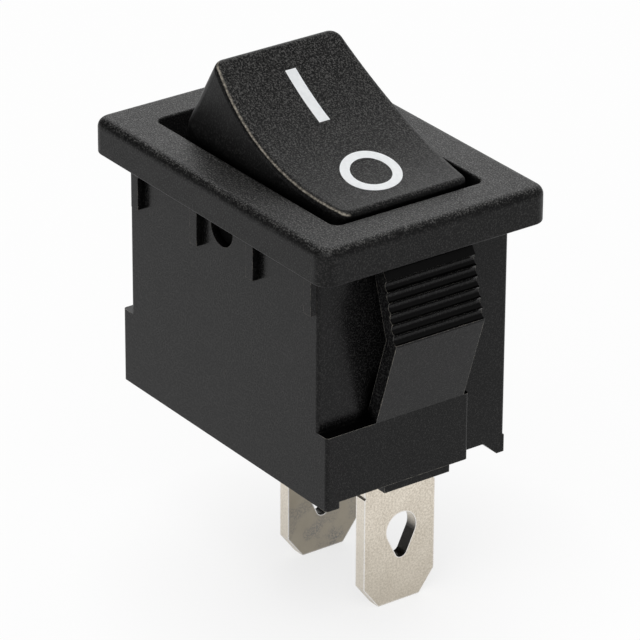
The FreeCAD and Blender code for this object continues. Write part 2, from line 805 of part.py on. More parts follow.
def shape_blade(body, low_x, high_x, hole_side, hole_drop):
    """Tip chamfers, the teardrop hole, edge notches and the shoulders that sit on the floor."""
    half = S.blade_width / 2
    tip = -S.blade_tip_depth
    for side, tag in ((-1, "near"), (1, "far")):
        profile(body, "chamfer_" + tag, "YZ", low_x, high_x, [
            ((half - S.blade_chamfer) * side, tip), (half * side, tip),
            (half * side, tip + S.blade_chamfer_height)], cut=True)
        profile(body, "notch_" + tag, "YZ", low_x, high_x, [
            (half * side, -S.notch_depth - S.notch_size), ((half - S.notch_size) * side, -S.notch_depth),
            (half * side, S.notch_size - S.notch_depth)], cut=True)
    profile(body, "hole", "YZ", low_x, high_x, teardrop(hole_side, hole_drop), cut=True)
    add_box(body, "shoulders", (low_x, high_x), (-S.shoulder_width / 2, S.shoulder_width / 2),
            (FLOOR_TOP, FLOOR_TOP + S.shoulder_height))


def teardrop(y, drop):
    """Two circles joined by their outer tangents, larger one on top."""
    big = S.hole_radius
    small = S.hole_small_radius
    tip = -S.blade_tip_depth - drop
    lean = (big - small) / (S.hole_rise - S.hole_small_rise)
    across = (1 - lean * lean).root()
    centre = tip + S.hole_rise
    wide = centre - big * lean
    narrow = tip + S.hole_small_rise - small * lean
    return [
        (y + big * across, wide), arc(big, y, centre + big, True),
        arc(big, y - big * across, wide, True), (y - small * across, narrow),
        arc(small, y + small * across, narrow, True),
    ]


def build_common_terminal():
    body = new_body("common_terminal")
    low_x = S.common_middle - S.blade_thickness / 2
    high_x = S.common_middle + S.blade_thickness / 2
    half = S.blade_width / 2
    seat = S.waist_width / 2 + S.ear_gap
    edge = -S.lever_pivot_depth
    ears = edge + S.ear_height
    profile(body, "blade", "YZ", low_x, high_x, [
        (-half, -S.blade_tip_depth), (half, -S.blade_tip_depth), (half, ears), (seat, ears),
        (seat, edge), (-seat, edge), (-seat, ears), (-half, ears)])
    profile(body, "knife_edge", "XZ", -seat, seat,
            [(0, edge), (high_x, edge - S.edge_slope_drop), (high_x, edge)], cut=True)
    shape_blade(body, low_x, high_x, S.common_hole_side, S.common_hole_drop)
    return body


def build_line_terminal():
    body = new_body("line_terminal")
    low_x = S.line_middle - S.blade_thickness / 2
    high_x = S.line_middle + S.blade_thickness / 2
    half = S.blade_width / 2
    end = S.line_middle - S.arm_reach
    under = ARM_TOP - S.blade_thickness
    bend = S.bend_radius
    outer = bend + S.blade_thickness
    profile(body, "blade", "XZ", -half, half, [
        (low_x, -S.blade_tip_depth), (high_x, -S.blade_tip_depth), (high_x, ARM_TOP - outer),
        arc(outer, high_x - outer, ARM_TOP, True), (end, ARM_TOP), (end, under),
        (low_x - bend, under), arc(bend, low_x, under - bend, False)])
    half_arm = S.arm_width / 2
    for low, high, tag in ((-half, -half_arm, "near"), (half_arm, half, "far")):
        cut_box(body, "arm_side_" + tag, (end, low_x - bend), (low, high), (under, ARM_TOP))
    shape_blade(body, low_x, high_x, S.hole_side, 0)
    prism(body, "rivet_hole", "XY", under, ARM_TOP,
          lambda sketch: draw_circle(sketch, FIXED_X, 0, S.contact_shank), cut=True)
    return body


def build_contacts():
    moving = at_lever_rest(build_rivet("lever_contact", S.lever_thickness), S.contact_reach, WING_UNDER)
    fixed = build_rivet("fixed_contact", S.blade_thickness)
    fixed.Placement = FreeCAD.Placement(Vector(), FreeCAD.Rotation(Vector(1, 0, 0), 180))
    bind(fixed, "Placement.Base.x", FIXED_X)
    bind(fixed, "Placement.Base.z", ARM_TOP)
    return [moving, fixed]


# Putting it together

def check_document(pieces):
    for thing in DOC.Objects:
        if "Invalid" in thing.State or "Error" in thing.State:
            raise RuntimeError(f"{thing.Label} failed: {thing.State}")
    for piece in pieces:
        shape = piece.Shape
        if shape.isNull() or not shape.isValid() or len(shape.Solids) != 1:
            raise RuntimeError(f"{piece.Label} isn't one valid solid")


def build_all():
    pieces = [build_housing(), *build_rocker_and_marks(), build_plunger(), build_spring(),
              build_lever(), *build_contacts(), build_common_terminal(), build_line_terminal()]
    DOC.recompute()
    check_document(pieces)
    os.makedirs("parts", exist_ok=True)
    for piece in pieces:
        piece.Shape.exportStep(f"parts/{piece.Label}.step")
        print(piece.Label, round(piece.Shape.Volume, 3))


build_all()
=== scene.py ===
"""Looks of the panel rocker switch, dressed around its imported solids. Metres, in the solids' own frame."""
import json
import math

import bpy
from mathutils import Matrix, Vector


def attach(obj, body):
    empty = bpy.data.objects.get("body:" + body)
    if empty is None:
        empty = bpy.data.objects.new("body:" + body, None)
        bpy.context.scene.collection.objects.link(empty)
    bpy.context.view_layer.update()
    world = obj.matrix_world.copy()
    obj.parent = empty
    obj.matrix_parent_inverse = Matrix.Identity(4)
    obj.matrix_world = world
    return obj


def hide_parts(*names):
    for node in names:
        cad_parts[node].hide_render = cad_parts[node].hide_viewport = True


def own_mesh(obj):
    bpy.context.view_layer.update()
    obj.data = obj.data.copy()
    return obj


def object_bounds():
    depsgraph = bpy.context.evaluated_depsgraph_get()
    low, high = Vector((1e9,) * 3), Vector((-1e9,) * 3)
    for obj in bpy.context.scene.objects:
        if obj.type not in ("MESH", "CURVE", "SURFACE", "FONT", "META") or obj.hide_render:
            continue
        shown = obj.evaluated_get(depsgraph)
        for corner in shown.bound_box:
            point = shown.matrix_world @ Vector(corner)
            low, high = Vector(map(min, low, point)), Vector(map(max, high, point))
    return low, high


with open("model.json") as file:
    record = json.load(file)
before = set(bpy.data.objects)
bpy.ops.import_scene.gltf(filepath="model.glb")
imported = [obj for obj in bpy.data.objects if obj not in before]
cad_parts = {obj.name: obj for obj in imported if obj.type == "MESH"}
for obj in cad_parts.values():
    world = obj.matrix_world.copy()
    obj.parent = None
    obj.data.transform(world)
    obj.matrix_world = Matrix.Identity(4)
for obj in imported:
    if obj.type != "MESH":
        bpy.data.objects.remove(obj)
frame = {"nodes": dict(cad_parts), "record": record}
CAD_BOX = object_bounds()
NODES = frame["nodes"]
MM = 0.001

# Directions of the shared frame; the near side is the long one that the photograph shows
ALONG_BODY = (1, 0, 0)
ACROSS_BODY = (0, 1, 0)
NEAR_SIDE = (0, -1, 0)
UPWARD = (0, 0, 1)

# Floor, just under the blades' tips
FLOOR_LEVEL = CAD_BOX[0].z - 0.02 * MM
FLOOR_SIZE = 6.0
FLOOR_COLOUR = (0.95, 0.95, 0.95, 1)
FLOOR_GLOW = 1.0
FLOOR_ROUGHNESS = 0.9

# How much of the floor's look is its even glow, which takes no shadow: in the camera's view near the
# shadow's middle and far from it, and in reflections
SHADOW_MIDDLE = (4.5 * MM, -0.5 * MM, FLOOR_LEVEL)
SHADOW_REACH = (4 * MM, 16 * MM)
GLOW_SEEN = (0.75, 0.93)
GLOW_REFLECTED = 0.58

# Colour of the surround and of the floor's glow
WHITE = (1, 1, 1, 1)

# Backdrop that the camera sees, the surround that lights the switch, its dark card, and how near to the
# card's direction the card starts and is darkest
BACKDROP = 1.0
SURROUND = 0.34
CARD_DIRECTION = (-0.727, -0.442, 0.526)
CARD_SPAN = (0.60, 0.88)
CARD_LEVEL = 0.03

# Softboxes: direction from the switch, and radiance
SOFTBOX_SIZE = 0.50
SOFTBOX_DISTANCE = 0.5
SOFTBOXES = {
    "back_softbox": ((-0.62, 0.55, 0.56), 1.35),
    "key_softbox": ((0.35, -0.45, 0.82), 2.1),
}

# Camera, as solved from the photograph's outline of the bezel and body
CAMERA_AZIMUTH = math.radians(54.12)
CAMERA_ELEVATION = math.radians(26.22)
CAMERA_ROLL = math.radians(0.315)
CAMERA_DISTANCE = 265.87 * MM
CAMERA_AIM_RIGHT = 0.156 * MM
CAMERA_AIM_UP = -7.378 * MM
SENSOR_WIDTH = 36.0
LENS = 273.5
NEAR_CLIP = CAMERA_DISTANCE * 0.02
FAR_CLIP = FLOOR_SIZE * 4

# The rocker at rest: its tilt, its pivot and its own directions
ROCKER_TILT = math.radians(20.8)
PIVOT = Vector((0, 0, -0.95 * MM))
ROCKER_UP = Vector((math.sin(ROCKER_TILT), 0, math.cos(ROCKER_TILT)))
ROCKER_ALONG = Vector((math.cos(ROCKER_TILT), 0, -math.sin(ROCKER_TILT)))

# The plunger's spring: the heights from the pivot that it stands between, the wire's and the coil's radius,
# all turns, and the closed turns at each end
BORE_TOP = 2.6 * MM
PLUNGER_TOP = -3.4 * MM
WIRE_RADIUS = 0.14 * MM
COIL_RADIUS = 0.93 * MM
COIL_TURNS = 8
DEAD_TURNS = 1.0

# The rocker's dish, its depth counted from the pivot
DISH_DEPTH = 4.9 * MM
DISH_RADIUS = 17.9 * MM

# The ring on the dish: its middle along and across, for each outline half its length, half its width and
# its slant, and how far its top stands above the dish and its root below
RING_MIDDLE = (3.45 * MM, -0.11 * MM)
RING_OUTER = (1.845 * MM, 1.785 * MM, -0.125)
RING_INNER = (1.255 * MM, 1.190 * MM, -0.110)
RING_RISE = 0.020 * MM
RING_ROOT = -0.03 * MM


# Node helpers

class Shading:
    """A material's node tree, with short calls for the nodes that the finishes use."""

    def __init__(self, name):
        self.material = bpy.data.materials.new(name)
        self.material.use_nodes = True
        self.nodes = self.material.node_tree.nodes
        self.links = self.material.node_tree.links
        self.shader = self.nodes["Principled BSDF"]
        coordinates = self.nodes.new("ShaderNodeTexCoord")
        self.place = coordinates.outputs["Object"]
        self.normal = coordinates.outputs["Normal"]

    def feed(self, socket, value):
        """Links a socket to another, or gives it a plain value."""
        if isinstance(value, bpy.types.NodeSocket):
            self.links.new(value, socket)
        else:
            socket.default_value = value

    def set(self, node, **values):
        """Feeds a node's inputs by name."""
        for name, value in values.items():
            self.feed(node.inputs[name.replace("_", " ")], value)

    def noise(self, size, detail=2.0, roughness=0.5):
        """Soft noise whose blotches are about the given size across, in metres."""
        node = self.nodes.new("ShaderNodeTexNoise")
        self.set(node, Vector=self.place, Scale=1 / size, Detail=detail, Roughness=roughness)
        return node.outputs["Fac"]

    def cells(self, size):
        """Distance from the middle of the nearest of many random cells."""
        node = self.nodes.new("ShaderNodeTexVoronoi")
        self.set(node, Vector=self.place, Scale=1 / size)
        return node.outputs["Distance"]

    def spread(self, value, low, high, start=0.0, end=1.0):
        """Stretches a value from low..high to start..end, clamped."""
        node = self.nodes.new("ShaderNodeMapRange")
        self.set(node, Value=value, From_Min=low, From_Max=high, To_Min=start, To_Max=end)
        return node.outputs["Result"]

    def clouds(self, size, detail=2.0, span=(0.0, 1.0)):
        """Noise stretched to fill nearly all of the span."""
        return self.spread(self.noise(size, detail), *NOISE_SPAN, *span)

    def maths(self, operation, first, second=0.0):
        node = self.nodes.new("ShaderNodeMath")
        node.operation = operation
        self.feed(node.inputs[0], first)
        self.feed(node.inputs[1], second)
        return node.outputs["Value"]

    def plus(self, *values):
        total = values[0]
        for value in values[1:]:
            total = self.maths("ADD", total, value)
        return total

    def times(self, *values):
        product = values[0]
        for value in values[1:]:
            product = self.maths("MULTIPLY", product, value)
        return product

    def minus(self, first, second):
        return self.maths("SUBTRACT", first, second)

    def larger(self, first, second):
        return self.maths("MAXIMUM", first, second)

    def unsigned(self, value):
        return self.maths("ABSOLUTE", value)

    def squared(self, value):
        return self.maths("POWER", value, 2.0)

    def blend(self, share, first, second):
        """The first colour with the given share of the second mixed in."""
        node = self.nodes.new("ShaderNodeMix")
        node.data_type = "RGBA"
        self.feed(node.inputs[0], share)
        self.feed(node.inputs[6], first)
        self.feed(node.inputs[7], second)
        return node.outputs[2]

    def bump(self, height, depth):
        node = self.nodes.new("ShaderNodeBump")
        self.set(node, Height=height, Distance=depth)
        return node.outputs["Normal"]

    def vectors(self, operation, first, second):
        """A plain number from two vectors."""
        node = self.nodes.new("ShaderNodeVectorMath")
        node.operation = operation
        self.feed(node.inputs[0], first)
        self.feed(node.inputs[1], second)
        return node.outputs["Value"]

    def facing(self, direction):
        """How squarely the surface faces a direction of the piece's own frame, from -1 to 1."""
        return self.vectors("DOT_PRODUCT", self.normal, direction)

    def along(self, direction):
        """Distance of a point along a direction of the piece's own frame."""
        return self.vectors("DOT_PRODUCT", self.place, direction)

    def recessed(self, reach):
        """Near 1 in grooves and gaps, 0 on open faces: where shade is painted."""
        node = self.nodes.new("ShaderNodeAmbientOcclusion")
        node.samples = GAP_SAMPLES
        node.inputs["Distance"].default_value = reach
        return self.spread(node.outputs["AO"], *GAP_OPENNESS)

    def sharp_edge(self, radius):
        """Near 1 on outer and inner sharp edges and 0 on flat stretches."""
        bevel = self.nodes.new("ShaderNodeBevel")
        bevel.samples = EDGE_SAMPLES
        bevel.inputs["Radius"].default_value = radius
        surface = self.nodes.new("ShaderNodeNewGeometry")
        agreement = self.vectors("DOT_PRODUCT", bevel.outputs["Normal"], surface.outputs["Normal"])
        return self.spread(agreement, *EDGE_AGREEMENT)


# Places where the finishes change: pairs are where a change starts and ends
SEAT_CHANGE = (-0.1 * MM, 0.1 * MM)
LATCH_CHANGE = (9.00 * MM, 9.08 * MM)
PIN_CHANGE = (4.85 * MM, 4.95 * MM)
RAISED_CHANGE = (4.5 * MM, -4.0 * MM)
FOOT_CHANGE = (-15 * MM, -22 * MM)

# Blades' holes: their middles across and upward, on the line blade and the common blade, how far the painted
# shade on their walls reaches from there, and between which heights above the middle the painted shade
# starts and is full
LINE_HOLE = (0.12 * MM, -18.25 * MM)
COMMON_HOLE = (-0.04 * MM, -18.75 * MM)
HOLE_REACH = (1.9 * MM, 1.7 * MM)
HOLE_SHADE_RISE = (0.8 * MM, 0.1 * MM)

# Colours of the mouldings: their plastic, painted shade, painted glints, and beige for painted highlights
# and edge wear
BLACK = (0.0040, 0.0040, 0.0042, 1)
DARK_GREY = (0.0062, 0.0062, 0.0064, 1)
PAINTED_SHADE = (0.0008, 0.0008, 0.0008, 1)
PAINTED_GLINT = (0.125, 0.123, 0.119, 1)
BEIGE_HIGHLIGHT_AND_WEAR = (0.34, 0.31, 0.26, 1)

# Colours of the marks and the plunger, from the darker to the paler
MARK_COLOURS = ((0.88, 0.90, 0.91, 1), (0.94, 0.96, 0.97, 1))
PLUNGER_COLOURS = ((0.66, 0.64, 0.58, 1), (0.76, 0.74, 0.69, 1))

# Colours of the inner metal pieces, from the darker to the paler
STEEL_COLOURS = ((0.42, 0.42, 0.43, 1), (0.66, 0.66, 0.67, 1))
LEVER_COLOURS = ((0.62, 0.41, 0.19, 1), (0.82, 0.58, 0.28, 1))
SILVER_COLOURS = ((0.70, 0.69, 0.66, 1), (0.88, 0.87, 0.84, 1))

# Colours of the blades: the plating's two speckle tones, painted shade and its patches, the near side's
# painted sheen, the corners' painted highlight, and the holes' painted shade
BLADE_PALE = (0.96, 0.885, 0.77, 1)
BLADE_DARK = (0.62, 0.555, 0.46, 1)
PAINTED_BLADE_SHADE = (0.36, 0.325, 0.265, 1)
PAINTED_SHADE_PATCH = (0.15, 0.155, 0.17, 1)
PAINTED_SIDE_SHEEN = (1.0, 0.95, 0.86, 1)
PAINTED_CORNER_HIGHLIGHT = (1.0, 1.0, 1.0, 1)
PAINTED_HOLE_SHADE = (0.05, 0.05, 0.052, 1)

# Sizes across of the marks on the mouldings
GRAIN_SIZE = 0.095 * MM
FINE_GRAIN_SIZE = 0.10 * MM
HOUSING_CLOUD_SIZE = 2.2 * MM
ROCKER_CLOUD_SIZE = 1.8 * MM
SPECK_SIZE = 0.16 * MM
SPECKLED_PATCH_SIZE = 0.45 * MM
NICK_SIZE = 0.3 * MM
RIM_BREAK_SIZE = 0.16 * MM

# Sizes across of the marks on the white inlays and the plunger
MARK_MOTTLE_SIZE = 0.30 * MM
MARK_GRAIN_SIZE = 0.12 * MM
PLUNGER_CLOUD_SIZE = 0.8 * MM
PLUNGER_GRAIN_SIZE = 0.1 * MM

# Sizes across of the patches that differ a little in gloss, on the rocker and elsewhere
ROCKER_GLOSS_PATCH_SIZE = 0.4 * MM
GLOSS_PATCH_SIZE = 0.5 * MM

# Sizes across of the marks on metal
SPECKLE_SIZE = 0.10 * MM
BLADE_SPECKLE_SIZE = 0.12 * MM
MOTTLE_SIZE = 1.4 * MM
SHADE_PATCH_SIZE = 1.1 * MM

# Depths of the reliefs
HOUSING_RELIEF = 0.018 * MM
ROCKER_RELIEF = 0.024 * MM
MARK_RELIEF = 0.004 * MM
PLUNGER_RELIEF = 0.003 * MM
METAL_RELIEF = 0.003 * MM
BLADE_RELIEF = 0.004 * MM

# How squarely a surface faces a direction, where each look starts and is full
TOP_FACING = (0.55, 0.95)
HOLLOW_SHADE_FACING = (0.10, 0.45)
FINGER_FACE_FACING = (0.80, 0.93)
RIM_FACING_FROM_ABOVE = (0.90, 0.80)
RIM_FACING_FROM_BELOW = (0.62, 0.72)
RIM_FACING_NEAR = (0.2, 0.45)
BLADE_FACING = (0.6, 0.9)
HOLE_WALL_FACING = (0.6, 0.3)

# Values of the noise where each mark starts and is full
GRAIN_GLINTING = (0.50, 0.64)
LEATHER_GLINTING = (0.49, 0.63)
FINE_GLINTING = (0.50, 0.66)
SPECK_RADIUS = (0.12, 0.04)
SPECKLED_PATCH = (0.58, 0.68)
NICK_BREAKS = (0.42, 0.62)
RIM_BREAKS = (0.42, 0.58)
MARK_MOTTLE = (0.35, 0.65)
METAL_SPECKLE = (0.34, 0.66)
BLADE_SPECKLE = (0.40, 0.60)
SHADE_PATCH_SPAN = (0.44, 0.60)
SHADE_PATCH_SPECKLE = (0.42, 0.58)

# Least strength of the rocker's painted highlight rim, and of its leather grain and painted glints towards
# the pressed end
RIM_LEAST = 0.35
LEATHER_LEAST = 0.60

# How much the speckle decides between a metal's two colours; the mottle decides the rest
METAL_SPECKLE_SHARE = 0.7
BLADE_SPECKLE_SHARE = 0.75

# Height of the relief on the housing's body, and how much more on the bezel and on its top
BODY_RELIEF = 0.30
BEZEL_RELIEF = 0.25
TOP_RELIEF = 0.9
FINE_RELIEF = 0.25

# How far from a sharp edge it shows
HOUSING_EDGE_REACH = 0.07 * MM
BLADE_EDGE_REACH = 0.16 * MM

# Strength of the grain's painted glints on the housing's body, and how much more on the bezel and on its top
BODY_GLINTS = 0.18
BEZEL_GLINTS = 0.06
TOP_GLINTS = 0.76

# Strength of the painted highlight crests on the latches, and of the nicks, part wear and part painted
# highlight, on all edges and more on the latches
CREST_STRENGTH = 0.9
NICK_STRENGTH = 0.40
LATCH_NICK_STRENGTH = 0.45

# Strength of the painted glints on the rocker
FINE_GLINTS = 0.16
LEATHER_GLINTS = 0.76

# Strength of the blades' painted shade at the foot, painted sheen on the near side and painted shade in the
# hole, and of the painted shade on each blade's broad face
FOOT_PAINTED_SHADE = 0.50
SIDE_SHEEN_STRENGTH = 0.30
HOLE_SHADE_STRENGTH = 0.92
LINE_FACE_SHADE = 0.0
COMMON_FACE_SHADE = 0.72

# Roughness and specular levels
HOUSING_SPECULAR = 0.16
HOUSING_ROUGHNESS = (0.19, 0.27)
BEZEL_EXTRA_ROUGHNESS = 0.17
ROCKER_SPECULAR = 0.11
ROCKER_ROUGHNESS = (0.34, 0.42)
PIN_EXTRA_ROUGHNESS = 0.5
MARK_ROUGHNESS = 0.5
PLUNGER_ROUGHNESS = 0.38
STEEL_ROUGHNESS = 0.28
LEVER_ROUGHNESS = 0.32
SILVER_ROUGHNESS = 0.3
BLADE_ROUGHNESS = (0.30, 0.42)
METAL_ROUGHNESS_SPAN = 0.05

# How harsh the noise of the grain and of the blades' speckle is
GRAIN_HARSHNESS = 0.7
BLADE_HARSHNESS = 0.75

# Values that nearly all of a noise lies between
NOISE_SPAN = (0.3, 0.7)

# Painted shade in gaps: how near another wall has to be, and how open a place is where the painted shade
# starts and is full
GAP_REACH = 0.9 * MM
GAP_OPENNESS = (0.88, 0.50)
GAP_SAMPLES = 12

# Sharp edges: how far the rounded direction agrees with the true one where an edge starts and is full
EDGE_AGREEMENT = (0.97, 0.80)
EDGE_SAMPLES = 6


# Finishes of the mouldings

def housing_colour(look, grain, bezel, top, latch):
    """Dark plastic with painted glints on its grain, painted highlight specks on the bezel's top, edge nicks
    that are part wear and part painted highlight, painted highlight crests on the latches, and painted
    shade.
    """
    plain = look.blend(look.clouds(HOUSING_CLOUD_SIZE, detail=3), BLACK, DARK_GREY)
    # Painted glints: the grain's high spots lightened, most on the bezel's top
    glinting = look.spread(grain, *GRAIN_GLINTING)
    glint_share = look.plus(BODY_GLINTS, look.times(bezel, BEZEL_GLINTS), look.times(top, TOP_GLINTS))
    plain = look.blend(look.times(glinting, glint_share), plain, PAINTED_GLINT)
    edge = look.sharp_edge(HOUSING_EDGE_REACH)
    # Painted highlight crests on the latches' sharp edges
    plain = look.blend(look.times(edge, latch, CREST_STRENGTH), plain, PAINTED_GLINT)

    # Painted highlight specks on the bezel's top; edge nicks, part wear and part painted highlight
    speck = look.spread(look.cells(SPECK_SIZE), *SPECK_RADIUS)
    speckled_patch = look.spread(look.noise(SPECKLED_PATCH_SIZE), *SPECKLED_PATCH)
    broken = look.spread(look.noise(NICK_SIZE, detail=3), *NICK_BREAKS)
    nick_share = look.plus(NICK_STRENGTH, look.times(latch, LATCH_NICK_STRENGTH))
    light = look.larger(look.times(speck, speckled_patch, top), look.times(edge, broken, nick_share))

    # Painted shade in gaps and on the latches' upward faces
    hollow_shade = look.times(look.spread(look.facing(UPWARD), *HOLLOW_SHADE_FACING), latch)
    shade = look.larger(look.recessed(GAP_REACH), hollow_shade)
    return look.blend(shade, look.blend(light, plain, BEIGE_HIGHLIGHT_AND_WEAR), PAINTED_SHADE)


def housing_plastic():
    """Matt black moulding: coarse spark-eroded grain on the bezel, smoother body, painted glints, highlights
    and shade, and edge nicks that are part wear and part painted highlight.
    """
    look = Shading("housing_plastic_look")
    bezel = look.spread(look.along(UPWARD), *SEAT_CHANGE)
    top = look.times(look.spread(look.facing(UPWARD), *TOP_FACING), bezel)
    outward = look.unsigned(look.along(ALONG_BODY))
    latch = look.times(look.spread(outward, *LATCH_CHANGE), look.minus(1.0, bezel))
    grain = look.noise(GRAIN_SIZE, roughness=GRAIN_HARSHNESS)
    relief = look.plus(BODY_RELIEF, look.times(bezel, BEZEL_RELIEF), look.times(top, TOP_RELIEF))
    roughness = look.plus(look.clouds(GLOSS_PATCH_SIZE, span=HOUSING_ROUGHNESS),
                          look.times(bezel, BEZEL_EXTRA_ROUGHNESS))
    look.set(look.shader, Base_Color=housing_colour(look, grain, bezel, top, latch),
             Specular_IOR_Level=HOUSING_SPECULAR, Roughness=roughness,
             Normal=look.bump(look.times(grain, relief), HOUSING_RELIEF))
    return look.material


def rocker_colour(look, leather, leather_and_glint_share, fine, pins):
    """Dark plastic with painted glints on its leather grain, a painted highlight along the rim on the near
    side, and painted shade in gaps and on the pins.
    """
    plain = look.blend(look.clouds(ROCKER_CLOUD_SIZE, detail=3), BLACK, DARK_GREY)
    # Painted glints on the fine grain and on the leather grain, most at the raised end
    plain = look.blend(look.times(look.spread(fine, *FINE_GLINTING), FINE_GLINTS), plain, PAINTED_GLINT)
    glinting = look.spread(leather, *LEATHER_GLINTING)
    plain = look.blend(look.times(glinting, leather_and_glint_share, LEATHER_GLINTS), plain, PAINTED_GLINT)

    # Painted highlight along the near rim, broken up
    upright = look.facing(ROCKER_UP)
    rim = look.times(look.spread(upright, *RIM_FACING_FROM_ABOVE),
                     look.spread(upright, *RIM_FACING_FROM_BELOW))
    near = look.spread(look.facing(NEAR_SIDE), *RIM_FACING_NEAR)
    broken = look.spread(look.noise(RIM_BREAK_SIZE, detail=3), *RIM_BREAKS, RIM_LEAST, 1.0)
    light = look.times(rim, near, broken)
    # Painted shade in gaps and on the pins' ends
    shade = look.larger(look.recessed(GAP_REACH), pins)
    return look.blend(shade, look.blend(light, plain, BEIGE_HIGHLIGHT_AND_WEAR), PAINTED_SHADE)


def rocker_plastic():
    """Black moulding: leather grain with painted glints on the finger face, both strongest at the raised
    end; smoother sides.
    """
    look = Shading("rocker_plastic_look")
    finger_face = look.spread(look.facing(ROCKER_UP), *FINGER_FACE_FACING)
    # The raised end gets more leather relief and more painted glints
    raised = look.spread(look.along(ROCKER_ALONG), *RAISED_CHANGE, LEATHER_LEAST, 1.0)
    leather_and_glint_share = look.times(finger_face, raised)
    leather = look.noise(GRAIN_SIZE, roughness=GRAIN_HARSHNESS)
    fine = look.noise(FINE_GRAIN_SIZE)
    pins = look.spread(look.unsigned(look.along(ACROSS_BODY)), *PIN_CHANGE)
    height = look.plus(look.times(leather, leather_and_glint_share), look.times(fine, FINE_RELIEF))
    roughness = look.plus(look.clouds(ROCKER_GLOSS_PATCH_SIZE, span=ROCKER_ROUGHNESS),
                          look.times(pins, PIN_EXTRA_ROUGHNESS))
    look.set(look.shader, Base_Color=rocker_colour(look, leather, leather_and_glint_share, fine, pins),
             Specular_IOR_Level=ROCKER_SPECULAR, Roughness=roughness,
             Normal=look.bump(height, ROCKER_RELIEF))
    return look.material


def mark_white():
    """Off-white inlay, faintly mottled."""
    look = Shading("mark_white_look")
    mottle = look.spread(look.noise(MARK_MOTTLE_SIZE, detail=3), *MARK_MOTTLE)
    look.set(look.shader, Base_Color=look.blend(mottle, *MARK_COLOURS), Roughness=MARK_ROUGHNESS,
             Normal=look.bump(look.noise(MARK_GRAIN_SIZE), MARK_RELIEF))
    return look.material


def plunger_acetal():
    """Natural acetal: milky, a little waxy."""
    look = Shading("plunger_acetal_look")
    colour = look.blend(look.clouds(PLUNGER_CLOUD_SIZE, detail=3), *PLUNGER_COLOURS)
    look.set(look.shader, Base_Color=colour, Roughness=PLUNGER_ROUGHNESS,
             Normal=look.bump(look.noise(PLUNGER_GRAIN_SIZE), PLUNGER_RELIEF))
    return look.material


# Finishes of the metal pieces

def speckle_and_mottle(look, speckle, mottle, speckle_share):
    return look.plus(look.times(speckle, speckle_share), look.times(mottle, 1 - speckle_share))


def metal(name, colours, roughness):
    """Plated or rolled metal: fine speckle and soft mottling."""
    look = Shading(name)
    speckle = look.noise(SPECKLE_SIZE, roughness=GRAIN_HARSHNESS)
    share = speckle_and_mottle(look, look.spread(speckle, *METAL_SPECKLE), look.clouds(MOTTLE_SIZE),
                               METAL_SPECKLE_SHARE)
    span = (roughness - METAL_ROUGHNESS_SPAN, roughness + METAL_ROUGHNESS_SPAN)
    look.set(look.shader, Base_Color=look.blend(share, *colours), Metallic=1.0,
             Roughness=look.clouds(GLOSS_PATCH_SIZE, detail=4, span=span),
             Normal=look.bump(speckle, METAL_RELIEF))
    return look.material


def shaded_brass_plating(look, speckle, face_shade_share):
    """Speckled plating, with painted shade towards the blade's tip, and on its broad face by the given
    share, with mottled patches of painted shade low on that face.
    """
    share = speckle_and_mottle(look, look.spread(speckle, *BLADE_SPECKLE),
                               look.clouds(MOTTLE_SIZE, detail=3), BLADE_SPECKLE_SHARE)
    colour = look.blend(share, BLADE_DARK, BLADE_PALE)
    # Painted shade towards the tip, and on the common blade's broad face
    foot = look.spread(look.along(UPWARD), *FOOT_CHANGE)
    face_shade = look.times(look.spread(look.facing(ALONG_BODY), *BLADE_FACING), face_shade_share)
    colour = look.blend(look.plus(look.times(foot, FOOT_PAINTED_SHADE), face_shade), colour, PAINTED_BLADE_SHADE)
    # Mottled patches of painted shade low on that face
    patch = look.times(look.spread(look.noise(SHADE_PATCH_SIZE, detail=4), *SHADE_PATCH_SPAN),
                       look.spread(speckle, *SHADE_PATCH_SPECKLE))
    return look.blend(look.times(patch, foot, face_shade), colour, PAINTED_SHADE_PATCH)


def hole_painted_shade(look, hole):
    """Near 1 on the lower part of the hole's wall, where shade is painted, 0 elsewhere on the blade."""
    height = look.along(UPWARD)
    off_middle = look.plus(look.squared(look.minus(look.along(ACROSS_BODY), hole[0])),
                           look.squared(look.minus(height, hole[1])))
    near_hole = look.spread(off_middle, *(reach ** 2 for reach in HOLE_REACH))
    wall = look.spread(look.unsigned(look.facing(ALONG_BODY)), *HOLE_WALL_FACING)
    low = look.spread(height, *(hole[1] + rise for rise in HOLE_SHADE_RISE))
    return look.times(near_hole, wall, low, HOLE_SHADE_STRENGTH)


def blade_metal(name, face_shade_share, hole):
    """Plated brass blade: speckled, with painted shade low down and in its hole, and painted highlights on
    its near side and corners.
    """
    look = Shading(name)
    speckle = look.noise(BLADE_SPECKLE_SIZE, detail=3, roughness=BLADE_HARSHNESS)
    colour = shaded_brass_plating(look, speckle, face_shade_share)
    # Painted sheen on the near side and painted highlight on the corners
    near_side_sheen = look.spread(look.facing(NEAR_SIDE), *BLADE_FACING)
    colour = look.blend(look.times(near_side_sheen, SIDE_SHEEN_STRENGTH), colour, PAINTED_SIDE_SHEEN)
    colour = look.blend(look.sharp_edge(BLADE_EDGE_REACH), colour, PAINTED_CORNER_HIGHLIGHT)
    # Painted shade low in the hole
    colour = look.blend(hole_painted_shade(look, hole), colour, PAINTED_HOLE_SHADE)
    look.set(look.shader, Base_Color=colour, Metallic=1.0,
             Roughness=look.clouds(GLOSS_PATCH_SIZE, detail=4, span=BLADE_ROUGHNESS),
             Normal=look.bump(speckle, BLADE_RELIEF))
    return look.material


